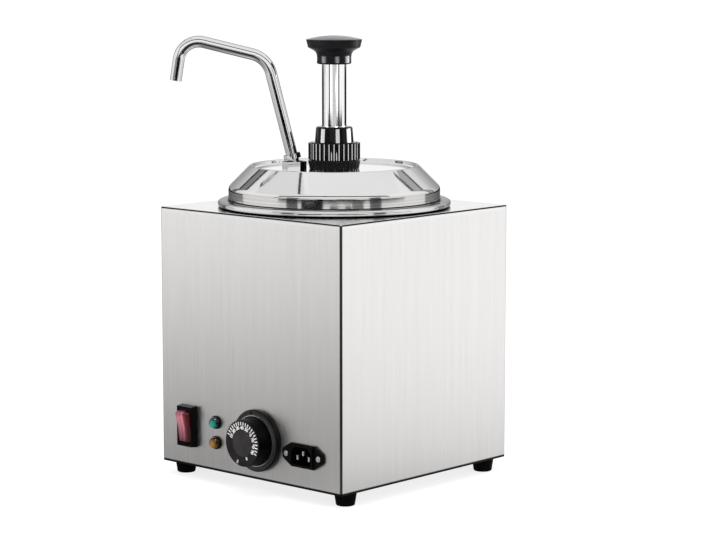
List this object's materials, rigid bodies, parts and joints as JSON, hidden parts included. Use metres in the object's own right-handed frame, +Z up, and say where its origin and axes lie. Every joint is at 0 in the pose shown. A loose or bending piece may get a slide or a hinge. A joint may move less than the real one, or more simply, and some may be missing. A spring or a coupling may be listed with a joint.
{
  "type": "hot topping warmer",
  "caption": "Square counter-top warmer with a heated well, lift-out pan, domed lid, push pump with a gooseneck spout, and a front panel with switch, lamps and dial.",
  "frame": {"origin": "middle of the footprint, on the surface that the feet stand on", "axes": "+Z up; the front panel faces -Y; +X is to the right of a person who faces the panel"},
  "size_m": [0.232, 0.253, 0.4153],
  "materials": {
    "brushed_stainless": "brushed along the height",
    "polished_stainless": "polished",
    "plain_stainless": "mill finish",
    "zinc_plated": "zinc plated",
    "copper_bulb": "bare",
    "cast_aluminium": "as cast",
    "tinned_brass": "plain",
    "black_pump_plastic": "satin moulded",
    "black_plastic": "moulded",
    "grey_ring": "satin",
    "white_pump_plastic": "moulded",
    "red_plastic": "translucent",
    "green_plastic": "translucent",
    "amber_plastic": "translucent",
    "black_rubber": "moulded",
    "mineral_wool": "fibrous",
    "brown_lead": "sleeved",
    "blue_lead": "sleeved",
    "green_lead": "sleeved"
  },
  "bodies": {
    "casing": {"casing_wrap": "brushed_stainless", "top_plate": "brushed_stainless", "base_plate": "plain_stainless", "feet": "black_rubber", "foot_screws": "zinc_plated", "foot_nuts": "zinc_plated", "base_screws": "zinc_plated", "water_well": "plain_stainless", "insulation_sleeve": "mineral_wool", "heater_plate": "cast_aluminium", "heater_element": "plain_stainless", "heater_clamp_plate": "plain_stainless", "clamp_nut": "plain_stainless", "thermal_cutout": "black_plastic", "thermostat_body": "black_plastic", "thermostat_screws": "zinc_plated", "capillary_tube": "plain_stainless", "sensor_bulb": "copper_bulb", "bulb_clips": "plain_stainless", "dial_bezel": "grey_ring", "switch_housing": "black_plastic", "spade_tabs": "tinned_brass", "lamp_bodies": "black_plastic", "lamp_nuts": "zinc_plated", "green_lens": "green_plastic", "amber_lens": "amber_plastic", "inlet_body": "black_plastic", "inlet_pins": "tinned_brass", "inlet_screws": "zinc_plated", "inlet_nuts": "zinc_plated", "terminal_block": "white_pump_plastic", "terminal_screws": "zinc_plated", "earth_stud": "zinc_plated", "live_leads": "brown_lead", "neutral_leads": "blue_lead", "earth_lead": "green_lead"},
    "dial": {"dial_knob": "black_plastic", "thermostat_shaft": "zinc_plated"},
    "rocker": {"switch_rocker": "red_plastic"},
    "pan": {"insert_pan": "polished_stainless"},
    "seal": {"lid_seal": "black_rubber"},
    "lid": {"lid_shell": "polished_stainless", "pump_head": "white_pump_plastic", "collar_base": "black_pump_plastic", "collar_nut": "black_pump_plastic", "pump_cap": "black_pump_plastic", "pump_cylinder": "polished_stainless", "valve_body": "white_pump_plastic", "spring_seat": "polished_stainless", "riser_tube": "polished_stainless", "spout_nut": "polished_stainless", "spout_ferrule": "polished_stainless", "spout_tube": "polished_stainless"},
    "plunger": {"plunger_knob": "black_pump_plastic", "plunger_tube": "polished_stainless", "piston": "white_pump_plastic", "piston_seal": "black_rubber", "return_spring": "polished_stainless"},
    "intake_ball": {"intake_ball": "polished_stainless"},
    "outlet_ball": {"outlet_ball": "polished_stainless"}
  },
  "joints": [
    {"name": "pan_lift", "type": "slide", "parent": "casing", "child": "pan", "axis": [0, 0, 1], "range_m": [0, 0.17]},
    {"name": "lid_lift", "type": "slide", "parent": "pan", "child": "seal", "axis": [0, 0, 1], "range_m": [0, 0.17]},
    {"name": "lid_turn", "type": "hinge", "parent": "seal", "child": "lid", "pos_m": [0, 0, 0.2627], "axis": [0, 0, 1], "continuous": true},
    {"name": "plunger_press", "type": "slide", "parent": "lid", "child": "plunger", "axis": [0, 0, -1], "range_m": [0, 0.058], "stiffness_N_per_m": 300, "springref_m": -0.02, "deforming": ["return_spring"]},
    {"name": "intake_ball_lift", "type": "slide", "parent": "lid", "child": "intake_ball", "axis": [0, 0, 1], "range_m": [0, 0.002]},
    {"name": "outlet_ball_lift", "type": "slide", "parent": "lid", "child": "outlet_ball", "axis": [0, 0, 1], "range_m": [0, 0.0025]},
    {"name": "dial_turn", "type": "hinge", "parent": "casing", "child": "dial", "pos_m": [0.0124, -0.116, 0.0494], "axis": [0, -1, 0], "range_deg": [-150, 120]},
    {"name": "rocker_tilt", "type": "hinge", "parent": "casing", "child": "rocker", "pos_m": [-0.0786, -0.1165, 0.0508], "axis": [1, 0, 0], "range_deg": [-20, 0]}
  ]
}
